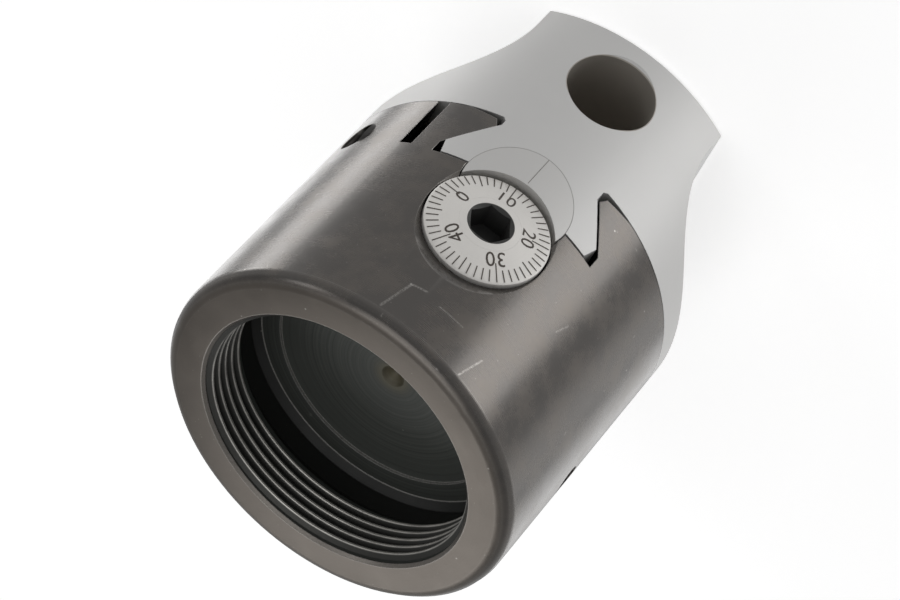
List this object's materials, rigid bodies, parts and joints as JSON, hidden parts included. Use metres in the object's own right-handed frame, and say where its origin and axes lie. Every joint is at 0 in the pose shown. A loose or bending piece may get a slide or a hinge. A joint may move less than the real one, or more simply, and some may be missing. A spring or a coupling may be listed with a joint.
{
  "type": "boring head",
  "caption": "Adjustable boring head: a dovetail slide with bar bores, driven across a threaded body by a graduated dial screw and locked through a slit gib.",
  "frame": {"origin": "centre of the nose's end face, on the head's axis", "axes": "+Z from the nose to the threaded socket, -Y towards the feed dial, slide travel along Y, gib and screws on +X"},
  "size_m": [0.05, 0.0503, 0.062],
  "materials": {
    "black_oxide": "black oxide on turned steel",
    "ground_steel": "ground, satin",
    "dial_satin": "satin chrome with etched divisions",
    "screw_steel": "black oxide",
    "brass": "turned"
  },
  "bodies": {
    "head": {"head_body": "black_oxide", "front_thrust_washer": "brass", "rear_bush": "brass", "rear_thrust_washer": "ground_steel", "lock_pad": "brass", "gib_pad_front": "brass", "gib_pad_rear": "brass"},
    "slide": {"bar_slide": "ground_steel", "feed_nut": "ground_steel", "nut_screw": "screw_steel"},
    "feed": {"feed_screw": "dial_satin", "graduated_dial": "dial_satin", "dial_pin": "screw_steel", "retaining_ring": "screw_steel"},
    "lock": {"lock_screw": "screw_steel"},
    "gib_front": {"gib_screw_front": "screw_steel"},
    "gib_rear": {"gib_screw_rear": "screw_steel"},
    "cross_clamp": {"cross_bar_screw": "screw_steel"},
    "centre_clamp": {"centre_bar_screw": "screw_steel"},
    "outboard_clamp": {"outboard_bar_screw": "screw_steel"}
  },
  "joints": [
    {"name": "feed_turn", "type": "hinge", "parent": "head", "child": "feed", "pos_m": [0, 0, 0.03985], "axis": [0, -1, 0], "range_deg": [0, 11520]},
    {"name": "slide_travel", "type": "slide", "parent": "head", "child": "slide", "axis": [0, 1, 0], "range_m": [0, 0.016]},
    {"name": "lock_turn", "type": "hinge", "parent": "head", "child": "lock", "pos_m": [0.02, 0, 0.0291], "axis": [-1, 0, 0], "range_deg": [-180, 30]},
    {"name": "gib_front_turn", "type": "hinge", "parent": "head", "child": "gib_front", "pos_m": [0.02, -0.011, 0.0291], "axis": [-1, 0, 0], "range_deg": [-180, 90]},
    {"name": "gib_rear_turn", "type": "hinge", "parent": "head", "child": "gib_rear", "pos_m": [0.02, 0.011, 0.0291], "axis": [-1, 0, 0], "range_deg": [-180, 90]},
    {"name": "cross_clamp_turn", "type": "hinge", "parent": "slide", "child": "cross_clamp", "pos_m": [0.01, -0.0155, 0.0095], "axis": [-1, 0, 0], "range_deg": [-360, 90]},
    {"name": "centre_clamp_turn", "type": "hinge", "parent": "slide", "child": "centre_clamp", "pos_m": [0.01, 0, 0.0095], "axis": [-1, 0, 0], "range_deg": [-360, 90]},
    {"name": "outboard_clamp_turn", "type": "hinge", "parent": "slide", "child": "outboard_clamp", "pos_m": [0.01, 0.0155, 0.0095], "axis": [-1, 0, 0], "range_deg": [-360, 90]}
  ],
  "couplings": [
    {"joint": "feed_turn", "follows": "slide_travel", "rad_per_m": 12566}
  ]
}
